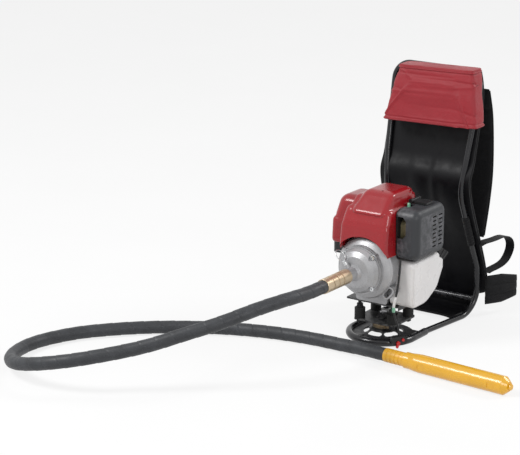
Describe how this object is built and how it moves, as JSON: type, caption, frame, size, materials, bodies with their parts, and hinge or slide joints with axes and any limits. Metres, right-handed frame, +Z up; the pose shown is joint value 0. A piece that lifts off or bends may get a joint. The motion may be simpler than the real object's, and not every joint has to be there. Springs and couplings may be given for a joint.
{
  "type": "backpack concrete vibrator",
  "caption": "Petrol engine on a swivel base with a backpack frame, driving a flexible shaft hose and a round steel vibrating head.",
  "frame": {"origin": "on the floor, middle of the machine's bounding box without its hose and head", "axes": "+Z up, +X to the right seen from the engine side, +Y towards the wearer's side"},
  "size_m": [0.9621, 1.0025, 0.556],
  "materials": {
    "aluminium": "cast",
    "bag_red": "coated nylon",
    "black_plastic": "satin",
    "cover_grey": "fine grain",
    "cover_red": "gloss",
    "fabric_black": "woven nylon",
    "foam": "open foam",
    "frame_black": "gloss",
    "green_plastic": "gloss",
    "head_yellow": "gloss",
    "hose_rubber": "wrapped",
    "plate_black": "satin",
    "red_plastic": "gloss",
    "rubber_black": "matte",
    "shell_black": "semi-gloss",
    "steel": "ground",
    "tank_white": "translucent white",
    "yellow_zinc": "passivated",
    "zinc": "satin"
  },
  "bodies": {
    "frame": {"base_loop": "frame_black", "base_pan": "plate_black", "turntable_ring": "yellow_zinc", "pivot_post": "steel", "pivot_nut": "plate_black", "frame_tube": "frame_black", "cross_tube": "frame_black", "backrest_shell": "shell_black", "back_pad": "fabric_black", "shoulder_straps": "fabric_black", "hip_pads": "fabric_black", "webbing_loops": "fabric_black", "rail_wraps": "fabric_black", "tool_bag": "bag_red", "throttle_body": "black_plastic", "throttle_cable": "rubber_black"},
    "engine": {"lower_plate": "plate_black", "dampers": "rubber_black", "damper_studs": "plate_black", "upper_plate": "plate_black", "engine_bolts": "zinc", "crankcase": "aluminium", "cylinder": "aluminium", "piston": "aluminium", "con_rod": "steel", "bearings": "steel", "clutch_cover": "aluminium", "fan_housing": "aluminium", "top_cover": "cover_red", "muffler": "steel", "muffler_guard": "black_plastic", "spark_plug": "steel", "carburettor": "aluminium", "air_base": "black_plastic", "air_element": "foam", "fuel_tank": "tank_white", "starter_housing": "black_plastic", "hose_ferrule": "yellow_zinc", "hose": "hose_rubber", "flex_core": "steel", "head_collar": "head_yellow", "head_tube": "head_yellow", "head_nose": "head_yellow", "rotor_bearings": "steel"},
    "crank": {"crankshaft": "steel", "flywheel_fan": "aluminium", "clutch_shoes": "steel"},
    "drum": {"clutch_drum": "steel"},
    "head_rotor": {"rotor": "steel"},
    "pull_pin": {"detent_pin": "zinc", "detent_ring": "zinc"},
    "air_lid": {"air_cover": "cover_grey"},
    "latch": {"air_latch": "black_plastic"},
    "choke": {"choke_lever": "green_plastic"},
    "cap": {"fuel_cap": "black_plastic"},
    "reel": {"starter_reel": "black_plastic"},
    "grip": {"starter_grip": "rubber_black", "starter_rope": "fabric_black"},
    "trigger": {"throttle_trigger": "red_plastic"},
    "button": {"stop_button": "red_plastic"}
  },
  "joints": [
    {"name": "engine_swivel", "type": "hinge", "parent": "frame", "child": "engine", "pos_m": [0, -0.0875, 0.038], "axis": [0, 0, 1], "range_deg": [-20, 20], "deforming": ["throttle_cable"]},
    {"name": "crank_turn", "type": "hinge", "parent": "engine", "child": "crank", "pos_m": [0, -0.0875, 0.17], "axis": [0, -1, 0], "continuous": true, "deforming": ["con_rod"]},
    {"name": "drum_spin", "type": "hinge", "parent": "engine", "child": "drum", "pos_m": [0, -0.2075, 0.17], "axis": [0, -1, 0], "continuous": true},
    {"name": "rotor_spin", "type": "hinge", "parent": "engine", "child": "head_rotor", "pos_m": [0.24763, -0.24596, 0.019], "axis": [0.9976, -0.0698, 0], "continuous": true},
    {"name": "pin_pull", "type": "slide", "parent": "engine", "child": "pull_pin", "axis": [-0.6392, 0, 0.769], "range_m": [0, 0.005], "stiffness_N_per_m": 400, "springref_m": -0.003},
    {"name": "air_cover_off", "type": "slide", "parent": "engine", "child": "air_lid", "axis": [1, 0, 0], "range_m": [0, 0.06]},
    {"name": "latch_open", "type": "hinge", "parent": "engine", "child": "latch", "pos_m": [0.062, -0.0735, 0.3065], "axis": [0, -1, 0], "range_deg": [0, 75]},
    {"name": "choke_turn", "type": "hinge", "parent": "engine", "child": "choke", "pos_m": [0.0655, -0.1035, 0.288], "axis": [1, 0, 0], "range_deg": [0, 45]},
    {"name": "fuel_cap_turn", "type": "hinge", "parent": "engine", "child": "cap", "pos_m": [0.08801, -0.00948, 0.18623], "axis": [0.3006, 0.501, 0.8116], "continuous": true},
    {"name": "starter_pull", "type": "slide", "parent": "engine", "child": "grip", "axis": [-1, 0, 0], "range_m": [0, 0.5], "deforming": ["starter_rope"]},
    {"name": "reel_spin", "type": "hinge", "parent": "engine", "child": "reel", "pos_m": [0, -0.0285, 0.17], "axis": [0, -1, 0], "range_deg": [0, 720]},
    {"name": "trigger_pull", "type": "hinge", "parent": "frame", "child": "trigger", "pos_m": [0.07218, -0.1469, 0.014], "axis": [0.7986, -0.6018, 0], "range_deg": [0, 25], "stiffness_Nm_per_rad": 0.002},
    {"name": "button_press", "type": "slide", "parent": "frame", "child": "button", "axis": [-0.7986, 0.6018, 0], "range_m": [0, 0.002], "stiffness_N_per_m": 200}
  ],
  "couplings": [
    {"joint": "rotor_spin", "follows": "drum_spin", "ratio": 1},
    {"joint": "reel_spin", "follows": "starter_pull", "rad_per_m": 25}
  ]
}
